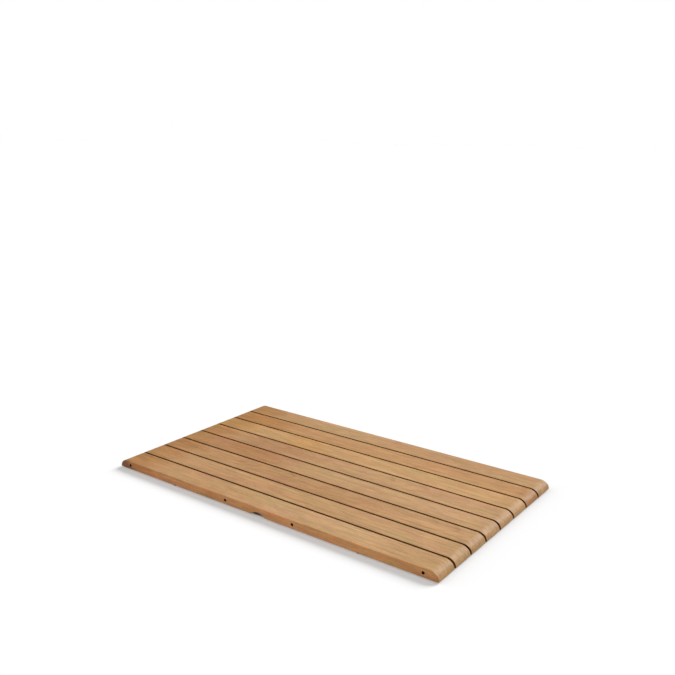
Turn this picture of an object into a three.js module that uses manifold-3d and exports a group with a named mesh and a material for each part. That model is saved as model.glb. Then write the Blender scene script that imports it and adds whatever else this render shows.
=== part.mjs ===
// A rigid teak bath mat: parallel slats with narrow drainage gaps, strung on four steel rods.
// A ring spacer sits on every rod in every gap, and rubber feet are screwed under the slats.
// Lengths are in millimetres. +X runs along the slats, +Y across them from front to back, and
// +Z up. The origin is on the floor, under the middle of the mat.
import * as THREE from "three";
import { mergeVertices } from "three/addons/utils/BufferGeometryUtils.js";
import Module from "manifold-3d";

const wasm = await Module();
wasm.setup();

// Driving dimensions of the mat.
const MAT_LENGTH = 866;
const MAT_WIDTH = 500;
const SLAT_COUNT = 8;
const SLAT_GAP = 5;
const SLAT_THICKNESS = 19;
const FOOT_HEIGHT = 2.5;

// Slat ends: the upper corner is a long elliptical nose, the lower one a small radius.
const NOSE_LENGTH = 21;
const NOSE_DROP = 16;
const HEEL_RADIUS = 2;
const EDGE_CHAMFER = 0.8;

// Finger notch, a low arch under the middle of the front and the rear slat, for lifting the mat.
const NOTCH_WIDTH = 38;
const NOTCH_HEIGHT = 8;
const NOTCH_DEPTH = 10;

// Rods: two near the middle and two near the ends, with their tips sunk in the outer slats.
const ROD_PLACES = [-400, -93, 93, 400];
const ROD_RADIUS = 2.7;
const ROD_SINK = 14;
const ROD_CHAMFER = 0.5;
const ROD_HOLE_RADIUS = 3;

// Ring spacers on the rods.
const SPACER_RADIUS = 6.5;
const SPACER_CLEARANCE = 0.3;

// Feet and their screws.
const FOOT_PLACES = [-253, 253];
const FOOT_SLATS = [1, 3, 6, 8];
const FOOT_RADIUS = 5.5;
const FOOT_BASE_RADIUS = 5;
const FOOT_SETBACK = 2;
const FOOT_EDGE = 0.5;
const SCREW_RADIUS = 1.5;
const SCREW_LENGTH = 9;
const SCREW_POINT = 2;
const SCREW_HEAD_RADIUS = 2.6;
const SCREW_HEAD_HEIGHT = 1.1;
const SCREW_HEAD_CHAMFER = 0.3;
const SCREW_SEAT = 1.6;
const FIT_GAP = 0.3;

// How far a cutter runs past the face that it opens, and how close points are merged.
const CUT_PAST = 1;
const MERGE_DISTANCE = 1e-4;

// Facets of the round shapes.
const ARC_STEPS = 6;
const NOTCH_STEPS = 10;
const HOLE_SIDES = 12;
const RING_SIDES = 14;
const FOOT_SIDES = 16;

// Derived sizes.
const SLAT_WIDTH = (MAT_WIDTH - SLAT_GAP * (SLAT_COUNT - 1)) / SLAT_COUNT;
const SLAT_PITCH = SLAT_WIDTH + SLAT_GAP;
const ROD_HEIGHT = FOOT_HEIGHT + SLAT_THICKNESS / 2;
const FOOT_OFFSET = SLAT_WIDTH / 2 - FOOT_SETBACK - FOOT_RADIUS;

// Colours, with a tint for each slat from front to rear.
const TEAK_TINTS = [
  0xbe966d, 0xbf986e, 0xbc9269, 0xba906b, 0xb7926e, 0xc89e72, 0xc09468, 0xbd9671,
];
const STEEL_COLOUR = 0xb9bcc0;
const RUBBER_COLOUR = 0x1b1a19;

/** Distance of slat number 1 to SLAT_COUNT from the mat's middle, along Y. */
function slatY(number) {
  return (number - (SLAT_COUNT + 1) / 2) * SLAT_PITCH;
}

/** A closed geometry as a manifold-3d solid. */
function solidOf(geometry) {
  const bare = geometry.clone();
  bare.deleteAttribute("normal");
  bare.deleteAttribute("uv");
  const merged = mergeVertices(bare, MERGE_DISTANCE);
  return new wasm.Manifold(
    new wasm.Mesh({
      numProp: 3,
      vertProperties: merged.attributes.position.array,
      triVerts: new Uint32Array(merged.index.array),
    }),
  );
}

/** A manifold-3d solid as a flat-shaded geometry. */
function geometryOf(solid) {
  const mesh = solid.getMesh();
  const indexed = new THREE.BufferGeometry();
  indexed.setAttribute("position", new THREE.BufferAttribute(mesh.vertProperties, 3));
  indexed.setIndex(new THREE.BufferAttribute(mesh.triVerts, 1));
  const geometry = indexed.toNonIndexed();
  geometry.computeVertexNormals();
  return geometry;
}

/** A solid of revolution about +Z from a profile of [radius, height] points. */
function turned(profile, sides) {
  const points = profile.map(([radius, height]) => new THREE.Vector2(radius, height));
  return new THREE.LatheGeometry(points, sides).rotateX(Math.PI / 2);
}

/** The slat's side view, with x along the slat and y up from its underside. */
function slatOutline() {
  const end = MAT_LENGTH / 2;
  const noseBase = SLAT_THICKNESS - NOSE_DROP;
  const heel = HEEL_RADIUS;
  const outline = new THREE.Shape();
  outline.moveTo(-end + heel, 0);
  outline.lineTo(end - heel, 0);
  outline.absarc(end - heel, heel, heel, -Math.PI / 2, 0, false);
  outline.absellipse(
    end - NOSE_LENGTH, noseBase, NOSE_LENGTH, NOSE_DROP, 0, Math.PI / 2, false,
  );
  outline.absellipse(
    -end + NOSE_LENGTH, noseBase, NOSE_LENGTH, NOSE_DROP, Math.PI / 2, Math.PI, false,
  );
  outline.absarc(-end + heel, heel, heel, Math.PI, Math.PI * 1.5, false);
  return outline;
}

/** One slat's blank, centred across Y, with its underside at z 0. */
function slatBlank() {
  const depth = SLAT_WIDTH - 2 * EDGE_CHAMFER;
  const blank = new THREE.ExtrudeGeometry(slatOutline(), {
    depth,
    curveSegments: ARC_STEPS,
    bevelEnabled: true,
    bevelThickness: EDGE_CHAMFER,
    bevelSize: EDGE_CHAMFER,
    bevelOffset: -EDGE_CHAMFER,
    bevelSegments: 1,
  });
  return blank.rotateX(Math.PI / 2).translate(0, depth / 2, 0);
}

/** The cutter for a rod hole through one slat. */
function rodHole(x) {
  const reach = SLAT_WIDTH + 2 * CUT_PAST;
  const cutter = new THREE.CylinderGeometry(ROD_HOLE_RADIUS, ROD_HOLE_RADIUS, reach, HOLE_SIDES);
  return cutter.translate(x, 0, SLAT_THICKNESS / 2);
}

/** The cutter for a foot screw's blind hole, up from the underside. */
function pilotHole(x, y) {
  const radius = SCREW_RADIUS + FIT_GAP;
  const depth = SCREW_LENGTH + FIT_GAP - (FOOT_HEIGHT - SCREW_SEAT);
  const cutter = new THREE.CylinderGeometry(radius, radius, depth + CUT_PAST, HOLE_SIDES);
  return cutter.rotateX(Math.PI / 2).translate(x, y, (depth - CUT_PAST) / 2);
}

/** The cutter for the finger notch in the slat's outer side, at +1 or -1 along Y. */
function notch(side) {
  const half = NOTCH_WIDTH / 2;
  const radius = (half ** 2 + NOTCH_HEIGHT ** 2) / (2 * NOTCH_HEIGHT);
  const spring = Math.asin((radius - NOTCH_HEIGHT) / radius);
  const outline = new THREE.Shape();
  outline.moveTo(-half, -CUT_PAST);
  outline.lineTo(half, -CUT_PAST);
  outline.absarc(0, NOTCH_HEIGHT - radius, radius, spring, Math.PI - spring);
  outline.closePath();
  const depth = NOTCH_DEPTH + CUT_PAST;
  const cutter = new THREE.ExtrudeGeometry(outline, {
    depth,
    curveSegments: NOTCH_STEPS,
    bevelEnabled: false,
  });
  cutter.rotateX(Math.PI / 2).translate(0, depth / 2, 0);
  return cutter.translate(0, side * (SLAT_WIDTH / 2 - NOTCH_DEPTH + depth / 2), 0);
}

/** Which way a slat's feet are set off from its middle line: outwards on the outer slats. */
function footY(number) {
  if (number === 1) return -FOOT_OFFSET;
  if (number === SLAT_COUNT) return FOOT_OFFSET;
  return 0;
}

/** Slat number 1 (front) to SLAT_COUNT (rear), cut for its rods, feet and notch. */
function slat(number) {
  let solid = solidOf(slatBlank());
  for (const x of ROD_PLACES) solid = solid.subtract(solidOf(rodHole(x)));
  if (FOOT_SLATS.includes(number))
    for (const x of FOOT_PLACES) solid = solid.subtract(solidOf(pilotHole(x, footY(number))));
  if (number === 1) solid = solid.subtract(solidOf(notch(-1)));
  if (number === SLAT_COUNT) solid = solid.subtract(solidOf(notch(1)));
  return geometryOf(solid);
}

/** A rod along Y with chamfered tips, centred on the origin. */
function rod() {
  const half = MAT_WIDTH / 2 - ROD_SINK;
  const tip = ROD_RADIUS - ROD_CHAMFER;
  const profile = [
    [0, -half],
    [tip, -half],
    [ROD_RADIUS, -half + ROD_CHAMFER],
    [ROD_RADIUS, half - ROD_CHAMFER],
    [tip, half],
    [0, half],
  ];
  return turned(profile, HOLE_SIDES).rotateX(Math.PI / 2);
}

/** A ring spacer around Y, centred on the origin. */
function spacer() {
  const half = SLAT_GAP / 2 - SPACER_CLEARANCE;
  const profile = [
    [ROD_HOLE_RADIUS, -half],
    [SPACER_RADIUS, -half],
    [SPACER_RADIUS, half],
    [ROD_HOLE_RADIUS, half],
    [ROD_HOLE_RADIUS, -half],
  ];
  return turned(profile, RING_SIDES).rotateX(Math.PI / 2);
}

/** A tapered rubber foot standing on z 0, with a seat for its screw's head. */
function foot() {
  const bore = SCREW_RADIUS + FIT_GAP;
  const seat = SCREW_HEAD_RADIUS + FIT_GAP;
  const profile = [
    [bore, SCREW_SEAT],
    [seat, SCREW_SEAT],
    [seat, 0],
    [FOOT_BASE_RADIUS - FOOT_EDGE, 0],
    [FOOT_BASE_RADIUS, FOOT_EDGE],
    [FOOT_RADIUS, FOOT_HEIGHT],
    [bore, FOOT_HEIGHT],
    [bore, SCREW_SEAT],
  ];
  return turned(profile, FOOT_SIDES);
}

/** A pan-head screw pointing up, with the top face of its head at z 0. */
function footScrew() {
  const head = SCREW_HEAD_RADIUS;
  const bottom = -SCREW_HEAD_HEIGHT;
  const profile = [
    [0, bottom],
    [head - SCREW_HEAD_CHAMFER, bottom],
    [head, bottom + SCREW_HEAD_CHAMFER],
    [head, 0],
    [SCREW_RADIUS, 0],
    [SCREW_RADIUS, SCREW_LENGTH - SCREW_POINT - FIT_GAP],
    [0, SCREW_LENGTH - FIT_GAP],
  ];
  return turned(profile, HOLE_SIDES);
}

/** Oiled teak in one slat's own tint. */
function teak(tint) {
  return new THREE.MeshStandardMaterial({ color: tint, roughness: 0.6, metalness: 0 });
}

/** Plain stainless steel. */
function stainless() {
  return new THREE.MeshStandardMaterial({ color: STEEL_COLOUR, roughness: 0.3, metalness: 1 });
}

/** Black rubber. */
function rubber() {
  return new THREE.MeshStandardMaterial({ color: RUBBER_COLOUR, roughness: 0.85, metalness: 0 });
}

/** A named mesh at a place in its group. */
function part(name, geometry, material, x, y, z) {
  const mesh = new THREE.Mesh(geometry, material);
  mesh.name = name;
  mesh.position.set(x, y, z);
  return mesh;
}

/** All slats, slat_1 at the front. */
function slats() {
  const group = new THREE.Group();
  for (let number = 1; number <= SLAT_COUNT; number += 1) {
    const material = teak(TEAK_TINTS[number - 1]);
    group.add(part(`slat_${number}`, slat(number), material, 0, slatY(number), FOOT_HEIGHT));
  }
  return group;
}

/** The rods, rod_1 at the left, each with a spacer in every gap. */
function rodsAndSpacers() {
  const group = new THREE.Group();
  ROD_PLACES.forEach((x, index) => {
    const number = index + 1;
    group.add(part(`rod_${number}`, rod(), stainless(), x, 0, ROD_HEIGHT));
    for (let gap = 1; gap < SLAT_COUNT; gap += 1) {
      const y = slatY(gap) + SLAT_PITCH / 2;
      group.add(part(`spacer_rod${number}_gap${gap}`, spacer(), rubber(), x, y, ROD_HEIGHT));
    }
  });
  return group;
}

/** The feet and their screws under the slats that have them. */
function feet() {
  const group = new THREE.Group();
  for (const number of FOOT_SLATS) {
    FOOT_PLACES.forEach((x, index) => {
      const where = `slat${number}_${index === 0 ? "left" : "right"}`;
      const y = slatY(number) + footY(number);
      group.add(part(`foot_${where}`, foot(), rubber(), x, y, 0));
      group.add(
        part(`foot_screw_${where}`, footScrew(), stainless(), x, y, SCREW_SEAT - FIT_GAP / 2),
      );
    });
  }
  return group;
}

const bathMat = new THREE.Group();
bathMat.add(slats(), rodsAndSpacers(), feet());

export default bathMat;
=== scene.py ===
"""The looks of a slatted teak bath mat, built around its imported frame.

Eight teak slats, strung on four steel rods with rubber ring spacers in the gaps, stand on small
rubber feet. Every length is in metres and comes from the frame's own boxes, or is a named field of
the class that uses it. +X runs along the slats, +Y from the front slat to the rear one, +Z up.
"""

import logging
import math
from collections.abc import Callable, Iterator, Sequence
from contextlib import contextmanager
from dataclasses import dataclass, field, replace
from enum import Enum
from itertools import pairwise

import bmesh
import bpy
from mathutils import Matrix, Vector


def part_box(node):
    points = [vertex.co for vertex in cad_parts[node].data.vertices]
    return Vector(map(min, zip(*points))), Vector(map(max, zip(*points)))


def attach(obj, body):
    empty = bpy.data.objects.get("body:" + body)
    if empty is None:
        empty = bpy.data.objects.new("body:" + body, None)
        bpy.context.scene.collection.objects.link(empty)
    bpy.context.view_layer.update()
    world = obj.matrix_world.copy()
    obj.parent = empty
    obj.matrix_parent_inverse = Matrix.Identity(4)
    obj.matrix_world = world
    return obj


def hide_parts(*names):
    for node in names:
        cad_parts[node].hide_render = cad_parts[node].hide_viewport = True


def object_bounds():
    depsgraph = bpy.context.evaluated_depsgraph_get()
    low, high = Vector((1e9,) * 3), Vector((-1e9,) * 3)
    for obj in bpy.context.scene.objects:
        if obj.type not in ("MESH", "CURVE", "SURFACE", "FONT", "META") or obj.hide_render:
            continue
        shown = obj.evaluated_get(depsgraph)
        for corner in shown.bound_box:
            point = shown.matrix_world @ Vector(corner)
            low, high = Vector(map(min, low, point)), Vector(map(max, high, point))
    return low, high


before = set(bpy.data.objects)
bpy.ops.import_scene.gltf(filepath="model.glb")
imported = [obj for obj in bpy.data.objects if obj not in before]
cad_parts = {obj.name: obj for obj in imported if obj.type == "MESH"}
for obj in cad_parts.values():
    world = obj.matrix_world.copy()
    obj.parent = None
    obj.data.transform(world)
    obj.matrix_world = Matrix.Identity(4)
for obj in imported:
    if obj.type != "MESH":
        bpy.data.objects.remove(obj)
CAD_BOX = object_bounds()

LOG = logging.getLogger("bath_mat")
BODY = "root"
MM = 0.001
FULL_TURN = 2 * math.pi
QUARTER_TURN = math.pi / 2
FACING = 0.9
ROUND_SHARE = 0.45
MERGE_REACH = MM / 1000
FACE_WEIGHT = 100
SMOOTH_ANGLE = math.radians(35.0)

Colour = tuple[float, float, float]
Span = tuple[float, float]
Piece = bpy.types.Object
Material = bpy.types.Material
Socket = bpy.types.NodeSocket
Edge = bmesh.types.BMEdge
Rule = Callable[[Edge], bool]


# --- Modelling steps ---


class Axis(Enum):
    """The way a turned piece points, as the turn from +Z to it."""

    UP = (0.0, 0.0, 0.0)
    ACROSS = (-QUARTER_TURN, 0.0, 0.0)


def select_only(piece: Piece) -> None:
    """Makes one object the only selected one, and the active one.

    Args:
        piece: The object to select.
    """
    bpy.ops.object.select_all(action="DESELECT")
    piece.select_set(True)
    bpy.context.view_layer.objects.active = piece


@contextmanager
def edit_mode(piece: Piece) -> Iterator[None]:
    """Holds one object in edit mode.

    Args:
        piece: The object to edit.

    Yields:
        Nothing, while the object is in edit mode.
    """
    select_only(piece)
    bpy.ops.object.mode_set(mode="EDIT")
    try:
        yield
    finally:
        bpy.ops.object.mode_set(mode="OBJECT")


def pick(piece: Piece, rule: Rule) -> int:
    """Selects, in edit mode, the edges that a rule accepts, and nothing else.

    Args:
        piece: The object in edit mode.
        rule: Says whether to select an edge.

    Returns:
        How many edges are selected.
    """
    bpy.ops.mesh.select_mode(type="EDGE")
    bpy.ops.mesh.select_all(action="DESELECT")
    shape = bmesh.from_edit_mesh(piece.data)
    chosen = [edge for edge in shape.edges if rule(edge)]
    for edge in chosen:
        edge.select_set(True)
    shape.select_flush_mode()
    bmesh.update_edit_mesh(piece.data)
    return len(chosen)


def middle(edge: Edge) -> Vector:
    """The middle point of an edge."""
    return (edge.verts[0].co + edge.verts[1].co) / 2


def bevel(width: float, segments: int) -> None:
    """Rounds the selected edges in edit mode.

    Args:
        width: How far the rounding reaches from each edge.
        segments: How many facets the rounding has.
    """
    bpy.ops.mesh.bevel(offset=width, segments=segments, profile=0.5, affect="EDGES")


def settle(piece: Piece) -> None:
    """Moves an object's place, turn and scale into its mesh, so that it sits at the origin."""
    select_only(piece)
    bpy.ops.object.transform_apply(location=True, rotation=True, scale=True)


def block(name: str, low: Vector, high: Vector) -> Piece:
    """Adds a box between two corners.

    Args:
        name: The new object's name.
        low: Its lowest corner.
        high: Its highest corner.

    Returns:
        The box, with its place in its mesh.
    """
    bpy.ops.object.select_all(action="DESELECT")
    bpy.ops.mesh.primitive_cube_add(size=1, location=(low + high) / 2, scale=high - low)
    piece = bpy.context.object
    piece.name = name
    settle(piece)
    return piece


@dataclass(frozen=True)
class Turn:
    """One corner of a turned profile: its radius, its height, and how far it is rounded."""

    radius: float
    height: float
    round: float = 0.0

    @property
    def place(self) -> Vector:
        """The corner as a point."""
        return Vector((self.radius, self.height))


def rounded(profile: Sequence[Turn], steps: int = 4) -> list[tuple[float, float]]:
    """Replaces the rounded corners of a profile with short arcs.

    An arc takes up less than half of each side that it meets, so that no two arcs cross.

    Args:
        profile: The corners, in order.
        steps: How many facets each arc has.

    Returns:
        The profile's points, as radius and height.
    """
    points: list[tuple[float, float]] = []
    last = len(profile) - 1
    for index, corner in enumerate(profile):
        here = corner.place
        if corner.round == 0 or index in (0, last):
            points.append(tuple(here))
            continue
        before, after = profile[index - 1].place, profile[index + 1].place
        reach = min(corner.round, ROUND_SHARE * min((before - here).length, (after - here).length))
        start = here + (before - here).normalized() * reach
        end = here + (after - here).normalized() * reach
        for step in range(steps + 1):
            t = step / steps
            bend = start * (1 - t) ** 2 + here * 2 * t * (1 - t) + end * t**2
            points.append(tuple(bend))
    return points


def lathe(
    name: str, profile: Sequence[tuple[float, float]], sides: int, place: Vector, axis: Axis
) -> Piece:
    """Extrudes a profile point by point and spins it into a closed turned shape.

    Args:
        name: The new object's name.
        profile: Radius and height of each point. It closes on itself, or both ends are on the axis.
        sides: How many facets the full turn has.
        place: Where the profile's zero height and zero radius go.
        axis: The way the turned shape points.

    Returns:
        The turned shape, with its place in its mesh.
    """
    bpy.ops.object.select_all(action="DESELECT")
    bpy.ops.mesh.primitive_plane_add(size=MM)
    piece = bpy.context.object
    piece.name = name
    with edit_mode(piece):
        bpy.ops.mesh.select_mode(type="VERT")
        bpy.ops.mesh.select_all(action="SELECT")
        bpy.ops.mesh.merge(type="CENTER")
        bpy.ops.transform.translate(value=(profile[0][0], 0, profile[0][1]))
        for (radius, height), (next_radius, next_height) in pairwise(profile):
            step = (next_radius - radius, 0, next_height - height)
            bpy.ops.mesh.extrude_vertices_move(TRANSFORM_OT_translate={"value": step})
        bpy.ops.mesh.select_all(action="SELECT")
        bpy.ops.mesh.spin(steps=sides, angle=FULL_TURN, center=(0, 0, 0), axis=(0, 0, 1))
        bpy.ops.mesh.select_all(action="SELECT")
        bpy.ops.mesh.remove_doubles(threshold=MERGE_REACH)
        bpy.ops.mesh.normals_make_consistent(inside=False)
    piece.rotation_euler = axis.value
    piece.location = place
    settle(piece)
    return piece


def cut(piece: Piece, cutter: Piece) -> None:
    """Cuts one solid out of another, and removes the cutter.

    Args:
        piece: The solid that stays.
        cutter: The solid that is cut away and deleted.
    """
    select_only(piece)
    modifier = piece.modifiers.new("cut", "BOOLEAN")
    modifier.operation = "DIFFERENCE"
    modifier.solver = "EXACT"
    modifier.object = cutter
    bpy.ops.object.modifier_apply(modifier=modifier.name)
    bpy.data.objects.remove(cutter)


def smooth(piece: Piece) -> None:
    """Shades a piece smoothly across its roundings, and keeps its flat faces flat.

    Args:
        piece: The finished mesh.
    """
    select_only(piece)
    bpy.ops.object.shade_smooth_by_angle(angle=SMOOTH_ANGLE)
    modifier = piece.modifiers.new("flat_faces", "WEIGHTED_NORMAL")
    modifier.keep_sharp = True
    modifier.weight = FACE_WEIGHT
    bpy.ops.object.modifier_apply(modifier=modifier.name)


# --- Materials ---

RISING: Span = (0.0, 1.0)
FALLING: Span = (1.0, 0.0)
MID_GREY: Colour = (0.5, 0.5, 0.5)
WHITE = (1.0, 1.0, 1.0, 1.0)


def beside(edge: float, reach: Span) -> Span:
    """Two places so far past an edge, or before it where the reach is negative."""
    return (edge + reach[0], edge + reach[1])


@dataclass(frozen=True)
class Pattern:
    """A noise: its features per metre along each axis, and the levels where it takes effect.

    The detail is how many finer octaves it holds, and rough is how strong they are.
    """

    stretch: tuple[float, float, float]
    span: Span = (0.3, 0.7)
    detail: float = 2.0
    rough: float = 0.5


class NodeBoard:
    """A material's node tree, with short calls for the nodes that the finishes share."""

    def __init__(self, name: str) -> None:
        """Starts a material with a principled shader and the object's own coordinates.

        Args:
            name: The material's name.
        """
        self.material = bpy.data.materials.new(name)
        self.material.use_nodes = True
        self.tree = self.material.node_tree
        self.tree.nodes.clear()
        self.shader = self.add("BsdfPrincipled")
        output = self.add("OutputMaterial")
        self.tree.links.new(self.shader.outputs["BSDF"], output.inputs["Surface"])
        self.place: Socket = self.add("TexCoord").outputs["Object"]

    def add(self, kind: str, inputs: dict | None = None, **settings: object) -> bpy.types.Node:
        """Adds a node.

        Args:
            kind: The node's type, without its common prefix.
            inputs: What goes into its inputs, by their names or places.
            settings: Properties to set on it.

        Returns:
            The node.
        """
        node = self.tree.nodes.new(f"ShaderNode{kind}")
        for key, value in settings.items():
            setattr(node, key, value)
        for key, value in (inputs or {}).items():
            self.feed(node.inputs[key], value)
        return node

    def shade(self, name: str, value: object) -> None:
        """Sets one input of the principled shader."""
        self.feed(self.shader.inputs[name], value)

    def feed(self, socket: Socket, value: object) -> None:
        """Links a socket to another one, or sets its constant.

        Args:
            socket: The input socket.
            value: An output socket, a number or a tuple.
        """
        if isinstance(value, Socket):
            self.tree.links.new(value, socket)
        else:
            socket.default_value = value

    def math(self, operation: str, a: object, b: object = 0.0, clamp: bool = False) -> Socket:
        """A Math node of one or two values."""
        return self.add("Math", {0: a, 1: b}, operation=operation, use_clamp=clamp).outputs[0]

    def vector(self, operation: str, a: object, b: object) -> Socket:
        """A Vector Math node of two vectors."""
        return self.add("VectorMath", {0: a, 1: b}, operation=operation).outputs["Vector"]

    def split(self, place: Socket) -> bpy.types.bpy_prop_collection:
        """A place's X, Y and Z."""
        return self.add("SeparateXYZ", {0: place}).outputs

    def length(self, a: Socket, b: Socket) -> Socket:
        """How long a step is that goes so far along each of two axes."""
        squares = [self.math("POWER", part, 2.0) for part in (a, b)]
        return self.math("SQRT", self.math("ADD", *squares))

    def mapped(
        self,
        place: Socket,
        scale: Sequence[float] = (1, 1, 1),
        shift: Sequence[float] = (0, 0, 0),
        turn: Sequence[float] = (0, 0, 0),
    ) -> Socket:
        """A place that is scaled, then turned, then shifted."""
        inputs = {"Vector": place, "Scale": scale, "Location": shift, "Rotation": turn}
        return self.add("Mapping", inputs).outputs["Vector"]

    def noise(self, place: Socket, pattern: Pattern, output: str = "Fac") -> Socket:
        """The noise of a pattern."""
        stretched = self.mapped(place, scale=pattern.stretch)
        inputs = {"Detail": pattern.detail, "Roughness": pattern.rough}
        return self.add("TexNoise", {"Vector": stretched, "Scale": 1.0, **inputs}).outputs[output]

    def level(self, place: Socket, pattern: Pattern, out: Span = RISING) -> Socket:
        """How strongly a pattern takes effect."""
        return self.ranged(self.noise(place, pattern), pattern.span, out)

    def ramp(self, value: Socket, stops: Sequence[Span]) -> Socket:
        """A grey ramp, with a level at each place."""
        node = self.add("ValToRGB", {"Fac": value})
        elements = node.color_ramp.elements
        while len(elements) < len(stops):
            elements.new(0.5)
        for element, (position, level) in zip(elements, stops):
            element.position = position
            element.color = (level, level, level, 1.0)
        return node.outputs["Color"]

    def ranged(self, value: Socket, span: Span, out: Span = RISING) -> Socket:
        """A smooth step from one range of values to another."""
        names = ("Value", "From Min", "From Max", "To Min", "To Max")
        inputs = dict(zip(names, (value, *span, *out)))
        return self.add("MapRange", inputs, interpolation_type="SMOOTHSTEP").outputs["Result"]

    def mix(self, share: object, a: object, b: object, blend: str = "MIX") -> Socket:
        """A mix of two colours."""
        first, second = (item if isinstance(item, Socket) else (*item, 1.0) for item in (a, b))
        inputs = {0: share, 6: first, 7: second}
        return self.add("Mix", inputs, data_type="RGBA", blend_type=blend).outputs[2]

    def bump(self, height: Socket, depth: float, normal: Socket | None = None) -> Socket:
        """A bump of so many metres, on top of another bump if one is given."""
        node = self.add("Bump", {"Height": height, "Strength": 1.0, "Distance": depth})
        if normal is not None:
            self.feed(node.inputs["Normal"], normal)
        return node.outputs["Normal"]


PORE_BROWN: Colour = (0.34, 0.24, 0.16)
# Painted shade in the gaps between slats.
GAP_SHADE_BROWN: Colour = (0.105, 0.034, 0.003)
# Painted shade, near black, in the rod holes.
HOLE_SHADE_BROWN: Colour = (0.012, 0.006, 0.004)
# Painted shade inside the finger notch.
NOTCH_SHADE_BROWN: Colour = (0.3, 0.165, 0.09)
END_TINT: Colour = (0.94, 0.95, 0.93)
END_GRAIN_TINT: Colour = (0.88, 0.84, 0.72)
RUDDY_TINT: Colour = (1.12, 0.94, 0.86)

STREAK = Pattern((3.0, 190.0, 190.0), span=(0.3, 0.72), detail=3.0)
FIBRE = Pattern((14.0, 1300.0, 1300.0), span=(0.28, 0.75), detail=3.0, rough=0.65)
SWAY = Pattern((2.2, 11.0, 11.0))
PORES = Pattern((95.0, 2600.0, 2600.0), span=(0.6, 0.7), detail=1.0)
CLOUDS = Pattern((5.0, 24.0, 24.0), span=(0.45, 0.66), detail=4.0, rough=0.6)
GLOW = Pattern((7.0, 38.0, 38.0), detail=3.0)
MOTTLE = Pattern((22.0, 110.0, 110.0), detail=3.0, rough=0.6)
RUDDY = Pattern((34.0, 30.0, 90.0), span=(0.55, 0.67))
RAGGED = Pattern((9.0, 60.0, 60.0), detail=3.0)
TURNING = Pattern((900.0, 6000.0, 900.0))
TARNISH = Pattern((160.0, 160.0, 160.0), span=(0.45, 0.75), detail=4.0)
PEBBLE = Pattern((2400.0, 2400.0, 2400.0))
DUST = Pattern((230.0, 230.0, 230.0), span=(0.45, 0.8), detail=4.0)

RING_LINE = ((0.0, 0.55), (0.1, 0.05), (0.62, 0.25), (0.93, 1.0), (1.0, 0.55))
SEED_SPREAD = (1.0, 3.7, 1.9)


class Figure(Enum):
    """How a slat was sawn from the log: where the log's heart lies from it, and how it leans."""

    QUARTER_SAWN = (0.16, -0.05, 0.01)
    RIFT_SAWN = (0.07, -0.09, 0.03)
    FLAT_SAWN = (0.012, -0.055, 0.09)


@dataclass(frozen=True)
class StainAndShade:
    """A patch where the wood's colour is multiplied, as an ellipsoid with a soft ragged edge."""

    centre: Vector
    reach: Vector
    tint: Colour
    strength: float = 1.0


@dataclass(frozen=True)
class Notch:
    """The finger notch in an outer slat's lower edge: a low arch with a rounded back corner."""

    half_width: float = 19 * MM
    height: float = 8 * MM
    depth: float = 10 * MM
    round: float = 3 * MM
    ease: float = 0.5 * MM
    steps: int = 8
    # The last four fields paint shade inside the notch: its share, and its fades at the arch's rim, at
    # the mouth and at the back wall.
    stain_and_shade: float = 0.85
    rim_fade: Span = (0.3 * MM, 0.8 * MM)
    mouth_fade: Span = (-1.2 * MM, -0.4 * MM)
    wall_fade: Span = (-0.8 * MM, -0.3 * MM)

    @property
    def radius(self) -> float:
        """The arch's radius."""
        return (self.half_width**2 + self.height**2) / (2 * self.height)


NOTCH = Notch()


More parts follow.
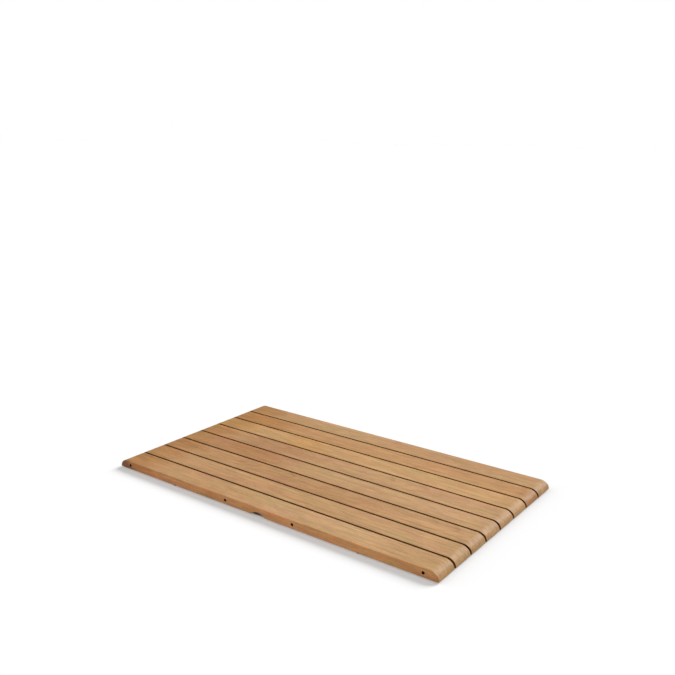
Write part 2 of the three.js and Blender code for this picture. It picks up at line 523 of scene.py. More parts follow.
@dataclass(frozen=True)
class TeakFinish:
    """Oiled teak, in one slat's own tint and grain, with painted shade in its gaps, rod holes and
    finger notch, and painted light on the front slat's outer side.
    """

    name: str
    light: Colour
    dark: Colour
    blush: Colour
    figure: Figure
    seed: float
    drift_deg: float = 0.4
    ring_pitch: float = 0.0042
    stains_and_shade: tuple[StainAndShade, ...] = ()
    # The outer side's tint: a warmer tone, and on the front slat painted light as well.
    face_tone_and_light: Colour = (1.0, 0.96, 0.9)
    face_ruddiness: float = 0.4
    face_fade: Span = (-2.0 * MM, -0.5 * MM)
    end_fade: Span = (-60 * MM, -10 * MM)
    cut_fade: Span = (-15 * MM, -2 * MM)
    # Painted shade on the sides that face a gap.
    gap_shade_share: float = 0.95
    gap_shade_top: Span = (-0.6 * MM, -0.08 * MM)
    gap_shade_side: Span = (-1.0 * MM, -0.3 * MM)
    # Painted shade in the rod holes.
    hole_shade: float = 0.94
    hole_fade: Span = (3.1 * MM, 3.7 * MM)
    patch_fade: Span = (0.35, 1.1)
    sway: float = 0.016
    ring_strength: Span = (0.35, 1.0)
    late_share: float = 0.4
    streak_share: float = 0.4
    fibre_share: float = 0.3
    blush_share: float = 0.65
    glow_colour: float = 0.24
    glow_share: float = 0.35
    mottle: Span = (0.88, 1.1)
    pore_share: float = 0.5
    pore_roughness: float = 0.25
    rough_span: Span = (0.25, 0.75)
    roughness: Span = (0.48, 0.64)
    ior: float = 1.45
    sheen: Span = (0.35, 0.03)
    ring_relief: float = 0.03 * MM
    fibre_relief: float = 0.09 * MM
    pore_relief: float = 0.12 * MM

    def material(self, low: Vector, high: Vector, outer_side: int) -> Material:
        """Builds the wood for a slat.

        Args:
            low: The slat's lowest corner.
            high: Its highest corner.
            outer_side: -1 or 1 if its front or rear side is the mat's own, 0 if neither is.

        Returns:
            The material.
        """
        board = NodeBoard(self.name)
        half = (high - low) / 2
        turn = (0.0, 0.0, math.radians(self.drift_deg))
        own = board.mapped(board.place, shift=tuple(-(low + high) / 2))
        start = tuple(self.seed * part for part in SEED_SPREAD)
        grain = board.mapped(own, turn=turn, shift=start)
        late = self._rings(board, own, grain)
        fibre = board.noise(grain, FIBRE)
        early = board.math("SUBTRACT", 1.0, late, clamp=True)
        pore = board.math("MULTIPLY", board.level(grain, PORES), early)
        colour = self._colour(board, grain, late, fibre)
        colour = self._ends(board, own, half, colour)
        colour = self._stained_and_shaded(board, own, grain, colour)
        open_pore = board.math("MULTIPLY", pore, self.pore_share)
        colour = board.mix(open_pore, colour, PORE_BROWN, "MULTIPLY")
        # Painted shade on the sides that face a gap, just below the top edge.
        gap_shade = self._painted_gap_shade(board, own, half, outer_side)
        # The outer side: a warmer tone, painted light on the front slat, and painted shade in the
        # finger notch.
        if outer_side:
            colour = self._outer_face_and_notch_shade(board, own, half, outer_side, colour)
        colour = board.mix(gap_shade, colour, GAP_SHADE_BROWN)
        # Painted shade, near black, on the walls of the rod holes.
        colour = self._painted_hole_shade(board, own, (low + high) / 2, colour)
        board.shade("Base Color", colour)
        rough = board.ranged(fibre, self.rough_span, self.roughness)
        rough = board.math("ADD", rough, board.math("MULTIPLY", pore, self.pore_roughness))
        board.shade("Roughness", rough)
        board.shade("IOR", self.ior)
        # Less reflection where the gap shade is painted.
        board.shade("Specular IOR Level", board.ranged(gap_shade, RISING, self.sheen))
        normal = board.bump(late, self.ring_relief)
        normal = board.bump(fibre, self.fibre_relief, normal)
        normal = board.bump(board.math("SUBTRACT", 1.0, pore), self.pore_relief, normal)
        board.shade("Normal", normal)
        return board.material

    def _rings(self, board: NodeBoard, own: Socket, grain: Socket) -> Socket:
        """Growth rings around the log's heart: 0 in pale early wood, 1 in the dark late lines."""
        away, below, lean = self.figure.value
        sway = board.vector("SUBTRACT", board.noise(grain, SWAY, "Color"), MID_GREY)
        sway = board.vector("MULTIPLY", sway, (0.0, self.sway, self.sway))
        centred = board.vector("SUBTRACT", own, (0.0, away, below))
        parts = board.split(board.vector("ADD", centred, sway))
        leaning = board.math("ADD", parts["Z"], board.math("MULTIPLY", parts["X"], lean))
        phase = board.math("DIVIDE", board.length(parts["Y"], leaning), self.ring_pitch)
        line = board.ramp(board.math("FRACT", phase), RING_LINE)
        number = board.math("ADD", board.math("FLOOR", phase), self.seed)
        year = board.add("TexWhiteNoise", {"W": number}, noise_dimensions="1D")
        strength = board.ranged(year.outputs["Value"], RISING, self.ring_strength)
        return board.math("MULTIPLY", line, strength)

    def _colour(self, board: NodeBoard, grain: Socket, late: Socket, fibre: Socket) -> Socket:
        """The wood's colour before stains: light to dark by grain, with broad warmer clouds."""
        tone = board.math("MULTIPLY", late, self.late_share)
        streaks = board.level(grain, STREAK, (0.0, self.streak_share))
        fibres = board.ranged(fibre, FIBRE.span, (0.0, self.fibre_share))
        tone = board.math("ADD", board.math("ADD", tone, streaks), fibres, clamp=True)
        wood = board.mix(tone, self.light, self.dark)
        wood = board.mix(board.level(grain, CLOUDS, (0.0, self.blush_share)), wood, self.blush)
        glow = board.mix(self.glow_colour, MID_GREY, board.noise(grain, GLOW, "Color"))
        wood = board.mix(self.glow_share, wood, glow, "OVERLAY")
        return board.mix(1.0, wood, board.level(grain, MOTTLE, self.mottle), "MULTIPLY")

    def _ends(self, board: NodeBoard, own: Socket, half: Vector, colour: Socket) -> Socket:
        """Darkens the slat a little towards its ends, and where the noses cut the grain."""
        along = board.math("ABSOLUTE", board.split(own)["X"])
        for fade, tint in ((self.end_fade, END_TINT), (self.cut_fade, END_GRAIN_TINT)):
            share = board.ranged(along, beside(half.x, fade))
            colour = board.mix(share, colour, tint, "MULTIPLY")
        return colour

    def _painted_gap_shade(self, board: NodeBoard, own: Socket, half: Vector, outer_side: int) -> Socket:
        """Painted shade: the share of dark brown painted on the sides that face a gap, just below the
        top edge.
        """
        parts = board.split(own)
        below = board.ranged(parts["Z"], beside(half.z, self.gap_shade_top), FALLING)
        total: object = 0.0
        for side in (-1, 1):
            if side == outer_side:
                continue
            out = board.math("MULTIPLY", parts["Y"], float(side))
            share = board.ranged(out, beside(half.y, self.gap_shade_side), (0.0, self.gap_shade_share))
            total = board.math("ADD", total, share)
        return board.math("MULTIPLY", total, below)

    def _outer_face_and_notch_shade(
        self, board: NodeBoard, own: Socket, half: Vector, side: int, colour: Socket
    ) -> Socket:
        """Warms the mat's own outer side, with painted light on the front slat, and paints shade inside
        its finger notch.
        """
        parts = board.split(own)
        out = board.math("MULTIPLY", parts["Y"], float(side))
        face = board.ranged(out, beside(half.y, self.face_fade))
        colour = board.mix(face, colour, self.face_tone_and_light, "MULTIPLY")
        patches = board.level(own, RUDDY, (0.0, self.face_ruddiness))
        colour = board.mix(board.math("MULTIPLY", face, patches), colour, RUDDY_TINT, "MULTIPLY")
        # Painted shade inside the finger notch, fading at its rim, its mouth and its back wall.
        axis_height = NOTCH.height - NOTCH.radius - half.z
        away = board.length(parts["X"], board.math("SUBTRACT", parts["Z"], axis_height))
        arch = board.ranged(away, beside(NOTCH.radius, NOTCH.rim_fade), FALLING)
        inside = board.ranged(out, beside(half.y, NOTCH.mouth_fade), (NOTCH.stain_and_shade, 0.0))
        reached = board.ranged(out, beside(half.y - NOTCH.depth, NOTCH.wall_fade))
        share = board.math("MULTIPLY", arch, board.math("MULTIPLY", inside, reached))
        return board.mix(share, colour, NOTCH_SHADE_BROWN)

    def _painted_hole_shade(self, board: NodeBoard, own: Socket, centre: Vector, colour: Socket) -> Socket:
        """Paints shade on the walls of the rod holes, near black, for the dark inside each hole."""
        parts = board.split(own)
        for rod in nodes_named("rod_"):
            axis = centre_of(rod) - centre
            along = board.math("SUBTRACT", parts["X"], axis.x)
            above = board.math("SUBTRACT", parts["Z"], axis.z)
            away = board.length(along, above)
            share = board.ranged(away, self.hole_fade, (self.hole_shade, 0.0))
            colour = board.mix(share, colour, HOLE_SHADE_BROWN)
        return colour

    def _stained_and_shaded(self, board: NodeBoard, own: Socket, grain: Socket, colour: Socket) -> Socket:
        """Lays the slat's stains, and its patches of painted shade, over its colour."""
        ragged = board.vector("SUBTRACT", board.noise(grain, RAGGED, "Color"), MID_GREY)
        for stain_and_shade in self.stains_and_shade:
            inverse = [1.0 / part for part in stain_and_shade.reach]
            shift = [-centre * part for centre, part in zip(stain_and_shade.centre, inverse)]
            place = board.vector("ADD", board.mapped(own, scale=inverse, shift=shift), ragged)
            length = board.add("VectorMath", {0: place}, operation="LENGTH")
            share = board.ranged(length.outputs["Value"], self.patch_fade, (stain_and_shade.strength, 0.0))
            colour = board.mix(share, colour, stain_and_shade.tint, "MULTIPLY")
        return colour


@dataclass(frozen=True)
class SteelFinish:
    """Plain stainless steel with fine turning marks."""

    name: str
    colour: Colour = (0.55, 0.55, 0.56)
    roughness: float = 0.32
    spread: Span = (-0.08, 0.14)
    tarnish: float = 0.72
    relief: float = 0.01 * MM

    def material(self) -> Material:
        """Builds the steel.

        Returns:
            The material.
        """
        board = NodeBoard(self.name)
        marks = board.noise(board.place, TURNING)
        darker = tuple(part * self.tarnish for part in self.colour)
        board.shade("Base Color", board.mix(board.level(board.place, TARNISH), self.colour, darker))
        rough = board.ranged(marks, TURNING.span, beside(self.roughness, self.spread))
        board.shade("Roughness", rough)
        board.shade("Metallic", 1.0)
        board.shade("Normal", board.bump(marks, self.relief))
        return board.material


@dataclass(frozen=True)
class RubberFinish:
    """Matte moulded rubber with a fine pebble and a little dust."""

    name: str
    colour: Colour = (0.018, 0.017, 0.016)
    dust: Colour = (0.07, 0.065, 0.06)
    dust_share: float = 0.5
    rough_span: Span = (0.3, 0.7)
    roughness: Span = (0.62, 0.82)
    relief: float = 0.05 * MM

    def material(self) -> Material:
        """Builds the rubber.

        Returns:
            The material.
        """
        board = NodeBoard(self.name)
        pebble = board.noise(board.place, PEBBLE)
        cloud = board.noise(board.place, DUST)
        dusty = board.ranged(cloud, DUST.span, (0.0, self.dust_share))
        board.shade("Base Color", board.mix(dusty, self.colour, self.dust))
        board.shade("Roughness", board.ranged(cloud, self.rough_span, self.roughness))
        board.shade("Normal", board.bump(pebble, self.relief))
        return board.material


# --- Pieces ---


def publish(
    piece: Piece, node: str, material: Material
) -> None:
    """Dresses a finished piece and puts it in its node's place.

    Args:
        piece: The finished mesh object.
        node: The frame's node that it stands for.
        material: The finish.
    """
    piece.data.materials.clear()
    piece.data.materials.append(material)
    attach(piece, BODY)
    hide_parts(node)
    LOG.info("%s: %d faces", piece.name, len(piece.data.polygons))


def nodes_named(start: str) -> list[str]:
    """The frame's nodes whose names begin with the given letters, in order."""
    return sorted(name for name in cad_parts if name.startswith(start))


def centre_of(node: str) -> Vector:
    """The middle of a node's box."""
    low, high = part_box(node)
    return (low + high) / 2


def radius_of(node: str) -> float:
    """Half of a node's box along X."""
    low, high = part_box(node)
    return (high.x - low.x) / 2


def underneath(node: str) -> Vector:
    """The middle of a node's box, at the box's lowest height."""
    place = centre_of(node)
    place.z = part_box(node)[0].z
    return place


def spread(
    pattern: Piece, nodes: Sequence[str], start: str, slot: str, finish: Material
) -> None:
    """Publishes a copy of a piece, with a mesh of its own, at every node, and removes the piece.

    Args:
        pattern: The piece, modelled in the first node's place.
        nodes: The nodes that get a copy.
        start: What the copies' names begin with.
        slot: The record's material slot; not used.
        finish: The material.
    """
    first = centre_of(nodes[0])
    for node in nodes:
        twin = pattern.copy()
        twin.data = pattern.data.copy()
        twin.name = f"{start}_{node}"
        twin.data.transform(Matrix.Translation(centre_of(node) - first))
        bpy.context.scene.collection.objects.link(twin)
        publish(twin, node, finish)
    bpy.data.objects.remove(pattern)


@dataclass
class Slat:
    """One teak slat: a plank with nosed ends, eased edges, rod holes, and its cuts below."""

    node: str
    finish: TeakFinish
    outer_side: int = 0
    foot_nodes: Sequence[str] = ()
    nose_length: float = 21 * MM
    nose_drop: float = 16 * MM
    nose_segments: int = 24
    heel: float = 2 * MM
    arris: float = 0.8 * MM
    outer_arris: float = 1.2 * MM
    round_segments: int = 6
    arris_segments: int = 4
    hole_radius: float = 3 * MM
    hole_ease: float = 0.3 * MM
    hole_sides: int = 40
    pilot_radius: float = 1.8 * MM
    pilot_spare: float = 0.3 * MM
    pilot_run: float = 1 * MM
    pilot_cone: float = 1 * MM
    pilot_sides: int = 24
    notch_sides: int = 160
    low: Vector = field(init=False)
    high: Vector = field(init=False)

    def __post_init__(self) -> None:
        """Takes the slat's size from the frame."""
        self.low, self.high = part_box(self.node)

    def build(self) -> None:
        """Models and dresses the slat."""
        piece = self._blank()
        self._drill_rods(piece)
        self._drill_feet(piece)
        if self.outer_side:
            self._cut_notch(piece)
        smooth(piece)
        wood = self.finish.material(self.low, self.high, self.outer_side)
        publish(piece, self.node, wood)

    def _blank(self) -> Piece:
        """The plank with its elliptical noses, heels and eased edges."""
        piece = block(f"teak_{self.node}", self.low, self.high)
        top = Vector((0.0, self.low.y, self.high.z))
        stretch = self.nose_length / self.nose_drop
        with edit_mode(piece):
            bpy.ops.mesh.select_all(action="SELECT")
            bpy.ops.transform.resize(value=(1, 1, stretch), center_override=top)
            pick(piece, self._upper_end)
            bevel(self.nose_length, self.nose_segments)
            bpy.ops.mesh.select_all(action="SELECT")
            bpy.ops.transform.resize(value=(1, 1, 1 / stretch), center_override=top)
            pick(piece, self._lower_end)
            bevel(self.heel, self.round_segments)
            if pick(piece, self._outer_outline):
                bevel(self.outer_arris, self.round_segments)
            pick(piece, self._inner_outline)
            bevel(self.arris, self.arris_segments)
        return piece

    def _upper_end(self, edge: Edge) -> bool:
        """Whether an edge is the upper corner of one of the slat's ends."""
        return self._end_corner(edge) and middle(edge).z > self.high.z - MM

    def _lower_end(self, edge: Edge) -> bool:
        """Whether an edge is the lower corner of one of the slat's ends."""
        return self._end_corner(edge) and middle(edge).z < self.low.z + MM

    def _end_corner(self, edge: Edge) -> bool:
        """Whether an edge runs across the slat at one of its two ends."""
        along = middle(edge).x
        across = abs(edge.verts[0].co.y - edge.verts[1].co.y) > MM
        return across and (along < self.low.x + MM or along > self.high.x - MM)

    def _outer_outline(self, edge: Edge) -> bool:
        """Whether an edge bounds the long flat side that is the mat's own outer side."""
        return any(face.normal.y * self.outer_side > FACING for face in edge.link_faces)

    def _inner_outline(self, edge: Edge) -> bool:
        """Whether an edge bounds a long flat side that faces a gap."""
        return any(
            abs(face.normal.y) > FACING and face.normal.y * self.outer_side <= FACING
            for face in edge.link_faces
        )

    def _drill_rods(self, piece: Piece) -> None:
        """Drills a hole for each rod, with both mouths lightly eased."""
        reach = (self.high.y - self.low.y) / 2
        ease = self.hole_ease
        wide = self.hole_radius + 2 * ease
        profile = (
            (0.0, -reach - ease),
            (wide, -reach - ease),
            (self.hole_radius, -reach + ease),
            (self.hole_radius, reach - ease),
            (wide, reach + ease),
            (0.0, reach + ease),
        )
        for rod in nodes_named("rod_"):
            place = centre_of(rod)
            place.y = (self.low.y + self.high.y) / 2
            cut(piece, lathe("drill", profile, self.hole_sides, place, Axis.ACROSS))

    def _drill_feet(self, piece: Piece) -> None:
        """Drills a blind pilot hole above each of the slat's feet."""
        for foot in self.foot_nodes:
            screw_low, screw_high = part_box(foot.replace("foot_", "foot_screw_"))
            depth = screw_high.z - self.low.z
            profile = (
                (0.0, -self.pilot_run),
                (self.pilot_radius, -self.pilot_run),
                (self.pilot_radius, depth - self.pilot_cone),
                (0.0, depth + self.pilot_spare),
            )
            place = (screw_low + screw_high) / 2
            place.z = self.low.z
            cut(piece, lathe("drill", profile, self.pilot_sides, place, Axis.UP))

    def _cut_notch(self, piece: Piece) -> None:
        """Routs the finger notch, a low arch, into the slat's outer lower edge."""
        radius = NOTCH.radius
        ease = NOTCH.ease
        depth = NOTCH.depth
        profile = rounded((
            Turn(0.0, 0.0),
            Turn(radius, 0.0, NOTCH.round),
            Turn(radius, depth - ease, ease),
            Turn(radius + 2 * ease, depth + ease),
            Turn(0.0, depth + ease),
        ), steps=NOTCH.steps)
        outward = [(reach, self.outer_side * along) for reach, along in profile]
        side = self.high.y if self.outer_side > 0 else self.low.y
        place = Vector((0.0, side - self.outer_side * depth, self.low.z + NOTCH.height - radius))
        cut(piece, lathe("router", outward, self.notch_sides, place, Axis.ACROSS))


@dataclass
class Deck:
    """The eight slats."""

    finishes: Sequence[TeakFinish]

    def build(self) -> None:
        """Builds every slat, front to rear."""
        nodes = nodes_named("slat_")
        for index, node in enumerate(nodes):
            outer_side = {0: -1, len(nodes) - 1: 1}.get(index, 0)
            number = node.removeprefix("slat_")
            feet = nodes_named(f"foot_slat{number}_")
            Slat(node, self.finishes[index], outer_side, feet).build()


@dataclass
class Rods:
    """The four steel rods through the slats."""

    tip: float = 0.5 * MM
    sides: int = 40

    def build(self) -> None:
        """Builds every rod."""
        material = SteelFinish("stainless_rod").material()
        for node in nodes_named("rod_"):
            low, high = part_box(node)
            radius = radius_of(node)
            half = (high.y - low.y) / 2
            profile = rounded((
                Turn(0.0, -half),
                Turn(radius, -half, self.tip),
                Turn(radius, half, self.tip),
                Turn(0.0, half),
            ))
            piece = lathe(f"steel_{node}", profile, self.sides, centre_of(node), Axis.ACROSS)
            smooth(piece)
            publish(piece, node, material)


@dataclass
class Spacers:
    """The rubber rings on the rods, one in every gap."""

    squeeze: float = 0.12 * MM
    edge: float = 0.5 * MM
    sides: int = 40

    def build(self) -> None:
        """Models one ring and copies it to every rod and gap."""
        material = RubberFinish("spacer_rubber").material()
        nodes = nodes_named("spacer_")
        outer = radius_of(nodes[0])
        bore = radius_of("rod_1")
        slat_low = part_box("slat_2")[0].y
        slat_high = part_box("slat_1")[1].y
        half = (slat_low - slat_high) / 2 - self.squeeze / 2
        profile = rounded((
            Turn(bore, 0.0),
            Turn(bore, -half, self.edge),
            Turn(outer - self.edge, -half, self.edge),
            Turn(outer, 0.0, self.edge),
            Turn(outer - self.edge, half, self.edge),
            Turn(bore, half, self.edge),
            Turn(bore, 0.0),
        ))
        ring = lathe("rubber_ring", profile, self.sides, centre_of(nodes[0]), Axis.ACROSS)
        smooth(ring)
        spread(ring, nodes, "rubber", "spacer_rubber", material)


@dataclass
class Feet:
    """The tapered rubber feet and their pan-head screws."""

    base_share: float = 0.9
    seat_height: float = 1.6 * MM
    head_height: float = 1.1 * MM
    shank: float = 1.5 * MM
    edge: float = 0.5 * MM
    groove: float = 0.25 * MM
    sides: int = 48
    cross_reach: float = 1.6 * MM
    cross_width: float = 0.7 * MM
    cross_depth: float = 0.8 * MM
    seat_play: float = 0.3 * MM
    shoulder: float = 0.4 * MM
    lip: float = 0.3 * MM
    soft: float = 0.2 * MM
    fine: float = 0.1 * MM
    dome_share: float = 0.9
    dome_round: float = 0.45
    dome_height: float = 0.75
    rim: float = 0.05 * MM
    point: float = 2 * MM

    def build(self) -> None:
        """Models one foot and one screw, and copies both to every place."""
        rubber = RubberFinish("foot_rubber").material()
        steel = SteelFinish("stainless_screw", roughness=0.26).material()
        screws = nodes_named("foot_screw_")
        feet = [node for node in nodes_named("foot_") if node not in screws]
        spread(self._foot(feet[0], screws[0]), feet, "rubber", "foot_rubber", rubber)
        spread(self._screw(screws[0]), screws, "steel", "stainless", steel)

    def _foot(self, node: str, screw: str) -> Piece:
        """One foot: tapered, with a grooved sole and a seat for its screw."""
        low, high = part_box(node)
        top = radius_of(node)
        sole = top * self.base_share
        height = high.z - low.z
        seat = radius_of(screw) + self.seat_play
        ceiling = self.seat_height
        bore = self.shank
        mid = (seat + sole) / 2
        half = self.groove
        profile = rounded((
            Turn(bore, (ceiling + height) / 2),
            Turn(bore, ceiling, self.soft),
            Turn(seat, ceiling, self.soft),
            Turn(seat, 0.0, self.lip),
            Turn(mid - half, 0.0, self.fine),
            Turn(mid - half, self.groove, self.fine),
            Turn(mid + half, self.groove, self.fine),
            Turn(mid + half, 0.0, self.fine),
            Turn(sole, 0.0, self.edge),
            Turn(top, height - self.shoulder, self.lip),
            Turn(top - self.lip, height, self.soft),
            Turn(bore, height, self.soft),
            Turn(bore, (ceiling + height) / 2),
        ))
        piece = lathe("foot_pattern", profile, self.sides, underneath(node), Axis.UP)
        smooth(piece)
        return piece

    def _screw(self, node: str) -> Piece:
        """One pan-head screw, pointing up, with a cross recess."""
        low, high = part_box(node)
        head = radius_of(node)
        length = high.z - low.z
        shank = self.shank
        thick = self.head_height
        profile = rounded((
            Turn(0.0, 0.0),
            Turn(head * self.dome_share, 0.0, head * self.dome_round),
            Turn(head, thick * self.dome_height, self.lip),
            Turn(head - self.rim, thick, self.fine),
            Turn(shank, thick, self.fine),
            Turn(shank, length - self.point, self.lip),
            Turn(0.0, length),
        ))
        place = underneath(node)
        piece = lathe("screw_pattern", profile, self.sides, place, Axis.UP)
        for reach_x, reach_y in (
            (self.cross_reach, self.cross_width / 2),
            (self.cross_width / 2, self.cross_reach),
        ):
            reach = Vector((reach_x, reach_y, self.cross_depth))
            cut(piece, block("driver", place - reach, place + reach))
        smooth(piece)
        return piece


# --- Studio ---


@dataclass(frozen=True)
class SoftLamp:
    """A broad far lamp: the direction it is seen in, its strength, and how wide it looks."""

    name: str
    towards: Vector
    strength: float
    width_deg: float

    def hang(self) -> None:
        """Adds the lamp to the scene."""
        data = bpy.data.lights.new(self.name, "SUN")
        data.energy = self.strength
        data.angle = math.radians(self.width_deg)
        holder = bpy.data.objects.new(self.name, data)
        holder.rotation_euler = self.towards.to_track_quat("Z", "Y").to_euler()
        bpy.context.scene.collection.objects.link(holder)


@dataclass
class Studio:
    """A plain pale floor, soft light from above, and the camera."""

    floor_size: float = 60.0
    floor_shade: float = 0.545
    floor_roughness: float = 0.9
    floor_glow: float = 0.25
    screen_margin: float = 6 * MM
    screen_edge: float = 4 * MM
    backdrop: float = 1.0
    sky: float = 0.25
    lamps: Sequence[SoftLamp] = (
        SoftLamp("rear_key", Vector((0.3, 0.72, 0.6)), 4.3, 34.0),
        SoftLamp("front_fill", Vector((-0.8, -0.5, 0.6)), 1.8, 60.0),
    )
    side_power: float = 1.5
    side_size: float = 0.5
    side_place: Vector = field(default_factory=lambda: Vector((1.2, -0.35, 0.65)))
    camera_place: Vector = field(default_factory=lambda: Vector((1.069, -1.431, 0.7965)))
    azimuth_deg: float = 36.26
    elevation_deg: float = 14.395
    roll_deg: float = 0.55
    lens: float = 44.2
    camera_reach: float = 200.0

    def build(self) -> None:
        """Builds the floor, the lights and the camera."""
        self._light(self._floor())
        self._camera()
        bpy.context.scene.view_settings.view_transform = "Standard"

    def _floor(self) -> Piece:
        """A large pale light table at the height that the feet stand on, glowing faintly.

        Returns:
            The floor.
        """
        bpy.ops.object.select_all(action="DESELECT")
        bpy.ops.mesh.primitive_plane_add(size=self.floor_size, location=(0, 0, CAD_BOX[0].z))
        floor = bpy.context.object
        floor.name = "floor"
        settle(floor)
        board = NodeBoard("pale_floor")
        board.shade("Base Color", (*(self.floor_shade,) * 3, 1.0))
        board.shade("Roughness", self.floor_roughness)
        board.shade("Specular IOR Level", 0.0)
        board.shade("Emission Color", WHITE)
        board.shade("Emission Strength", self._glow(board))
        floor.data.materials.append(board.material)
        return floor

    def _glow(self, board: NodeBoard) -> Socket:
        """The light table's glow: even all round the mat, and screened off beneath it."""
        parts = board.split(board.place)
        covered: object = 1.0
        for axis, half in (("X", CAD_BOX[1].x), ("Y", CAD_BOX[1].y)):
            away = board.math("ABSOLUTE", parts[axis])
            inner = half - self.screen_margin - self.screen_edge
            inside = board.ranged(away, (inner, half - self.screen_margin), FALLING)
            covered = board.math("MULTIPLY", covered, inside)
        return board.ranged(covered, RISING, (self.floor_glow, 0.0))

    def _light(self, floor: Piece) -> None:
        """Dim even light from all round, two broad lamps, and one at the mat's right end.

        Args:
            floor: The floor, which is screened from the lamp at the right end.
        """
        self._sky()
        for lamp in self.lamps:
            lamp.hang()
        data = bpy.data.lights.new("side_lamp", "AREA")
        data.energy = self.side_power
        data.shape = "DISK"
        data.size = self.side_size
        holder = bpy.data.objects.new("side_lamp", data)
        holder.location = self.side_place
        holder.rotation_euler = self.side_place.to_track_quat("Z", "Y").to_euler()
        bpy.context.scene.collection.objects.link(holder)
        screened = bpy.data.collections.new("side_lamp_screen")
        screened.objects.link(floor)
        screened.collection_objects[0].light_linking.link_state = "EXCLUDE"
        holder.light_linking.receiver_collection = screened

    def _sky(self) -> None:
        """White where it is looked at directly, and dimmer as a light."""
        world = bpy.data.worlds.new("studio_sky")
        world.use_nodes = True
        tree = world.node_tree
        path = tree.nodes.new("ShaderNodeLightPath")
        strength = tree.nodes.new("ShaderNodeMapRange")
        strength.inputs["To Min"].default_value = self.sky
        strength.inputs["To Max"].default_value = self.backdrop
        tree.links.new(path.outputs["Is Camera Ray"], strength.inputs["Value"])
        background = tree.nodes["Background"]
        background.inputs["Color"].default_value = WHITE
        tree.links.new(strength.outputs["Result"], background.inputs["Strength"])
        bpy.context.scene.world = world

    def _camera(self) -> None:
        """The camera, from its place, its azimuth, its elevation and its roll."""
        angles = (self.azimuth_deg, self.elevation_deg, self.roll_deg)
        azimuth, elevation, roll = (math.radians(angle) for angle in angles)
        level = math.cos(elevation)
        back = Vector((math.sin(azimuth) * level, -math.cos(azimuth) * level, math.sin(elevation)))
        right = (-back).cross(Vector((0, 0, 1))).normalized()
        up = right.cross(-back)
        across = right * math.cos(roll) + up * math.sin(roll)
        upright = up * math.cos(roll) - right * math.sin(roll)
        turn = Matrix((across, upright, back)).transposed().to_4x4()
        data = bpy.data.cameras.new("camera")
        data.lens = self.lens
        data.clip_end = self.camera_reach
        camera = bpy.data.objects.new("camera", data)
        camera.matrix_world = Matrix.Translation(self.camera_place) @ turn
        bpy.context.scene.collection.objects.link(camera)
        bpy.context.scene.camera = camera


# --- The mat ---

GOLDEN: Colour = (0.457, 0.269, 0.12)
UMBER: Colour = (0.271, 0.133, 0.047)
ROSE: Colour = (0.4, 0.208, 0.097)

STRAW: Colour = (1.0, 1.02, 1.05)
PLAIN: Colour = (0.99, 1.0, 1.02)
HONEY: Colour = (1.08, 1.1, 1.06)
AMBER: Colour = (0.96, 0.94, 0.93)
TAWNY: Colour = (1.0, 0.95, 0.88)

# A darker tint, used at the slats' left ends, where it is partly painted shade, and at slat 7's right
# end.
DARKENED: Colour = (0.86, 0.76, 0.57)
RUSSET: Colour = (0.86, 0.73, 0.65)
GREYED: Colour = (0.89, 0.84, 0.83)
YELLOWED: Colour = (1.02, 0.98, 0.84)
BLEACHED: Colour = (1.06, 1.12, 1.18)
CORNER_DARKENING: Colour = (0.5, 0.46, 0.46)
# The front slat's outer side: a warmer tone, and painted light that brightens and warms that side,
# which stands in shade.
FRONT_FACE_TONE_AND_LIGHT: Colour = (1.24, 1.0, 0.76)

LEFT_END = -0.43
WHOLE_WIDTH = 0.1
FIRST_SEED = 1.3
SEED_STEP = 2.1


def tinted(colour: Colour, tint: Colour) -> Colour:
    """A colour multiplied by a tint."""
    return tuple(part * factor for part, factor in zip(colour, tint))


def patch(along: float, reach: float, tint: Colour, strength: float = 1.0) -> StainAndShade:
    """A stain over a slat's whole width; at the left ends it is partly painted shade.

    Args:
        along: Its centre along the slat, from the slat's middle.
        reach: How far it spreads along the slat, each way.
        tint: What it multiplies the wood's colour by.
        strength: Its share of that tint.

    Returns:
        The patch.
    """
    return StainAndShade(Vector((along, 0.0, 0.0)), Vector((reach, WHOLE_WIDTH, WHOLE_WIDTH)), tint, strength)


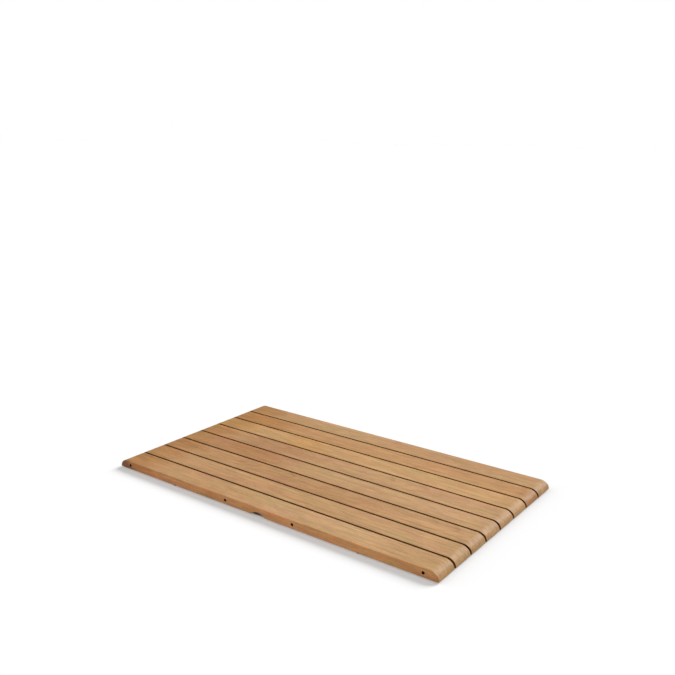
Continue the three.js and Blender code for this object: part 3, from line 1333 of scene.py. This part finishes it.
def teak_finishes() -> list[TeakFinish]:
    """The eight slats' finishes, front to rear.

    Returns:
        One finish for each slat.
    """
    # Darker at the left end of the front slat's front side.
    dark_left_corner = StainAndShade(Vector((LEFT_END, -0.029, -0.002)), Vector((0.04, 0.012, 0.016)), CORNER_DARKENING)
    # Darker towards the left end of each slat: partly the wood's tone, partly painted shade for the
    # light falling off towards the left.
    left_end_shade = patch(LEFT_END, 0.13, DARKENED)
    planks = (
        (Figure.RIFT_SAWN, STRAW, (left_end_shade, patch(0.15, 0.24, BLEACHED), dark_left_corner)),
        (Figure.QUARTER_SAWN, STRAW, (left_end_shade, patch(0.36, 0.2, BLEACHED, 0.4))),
        (Figure.FLAT_SAWN, AMBER, (
            left_end_shade, patch(-0.03, 0.12, RUSSET, 0.25), patch(0.34, 0.2, BLEACHED, 0.8))),
        (Figure.RIFT_SAWN, STRAW, (
            left_end_shade, patch(-0.22, 0.16, RUSSET), patch(0.2, 0.3, BLEACHED, 0.7))),
        (Figure.FLAT_SAWN, PLAIN, (
            left_end_shade, patch(-0.19, 0.15, GREYED), patch(0.22, 0.26, BLEACHED, 0.5))),
        (Figure.QUARTER_SAWN, HONEY, (
            left_end_shade, patch(-0.14, 0.08, YELLOWED), patch(0.12, 0.26, BLEACHED, 0.5))),
        (Figure.RIFT_SAWN, TAWNY, (
            patch(LEFT_END, 0.22, DARKENED), patch(0.0, 0.3, BLEACHED, 0.4), patch(0.44, 0.05, DARKENED, 0.6))),
        (Figure.QUARTER_SAWN, PLAIN, (left_end_shade, patch(-0.11, 0.14, BLEACHED, 0.9))),
    )
    finishes = [
        TeakFinish(
            f"teak_{index + 1}", tinted(GOLDEN, tint), tinted(UMBER, tint), tinted(ROSE, tint),
            figure, seed=FIRST_SEED + SEED_STEP * index, stains_and_shade=stains_and_shade,
        )
        for index, (figure, tint, stains_and_shade) in enumerate(planks)
    ]
    finishes[0] = replace(finishes[0], face_tone_and_light=FRONT_FACE_TONE_AND_LIGHT, face_ruddiness=1.0)
    return finishes


def main() -> None:
    """Builds the studio and then every piece of the mat."""
    logging.basicConfig(level=logging.INFO, format="%(name)s: %(message)s")
    Studio().build()
    Deck(teak_finishes()).build()
    Rods().build()
    Spacers().build()
    Feet().build()


if __name__ == "__main__":
    main()
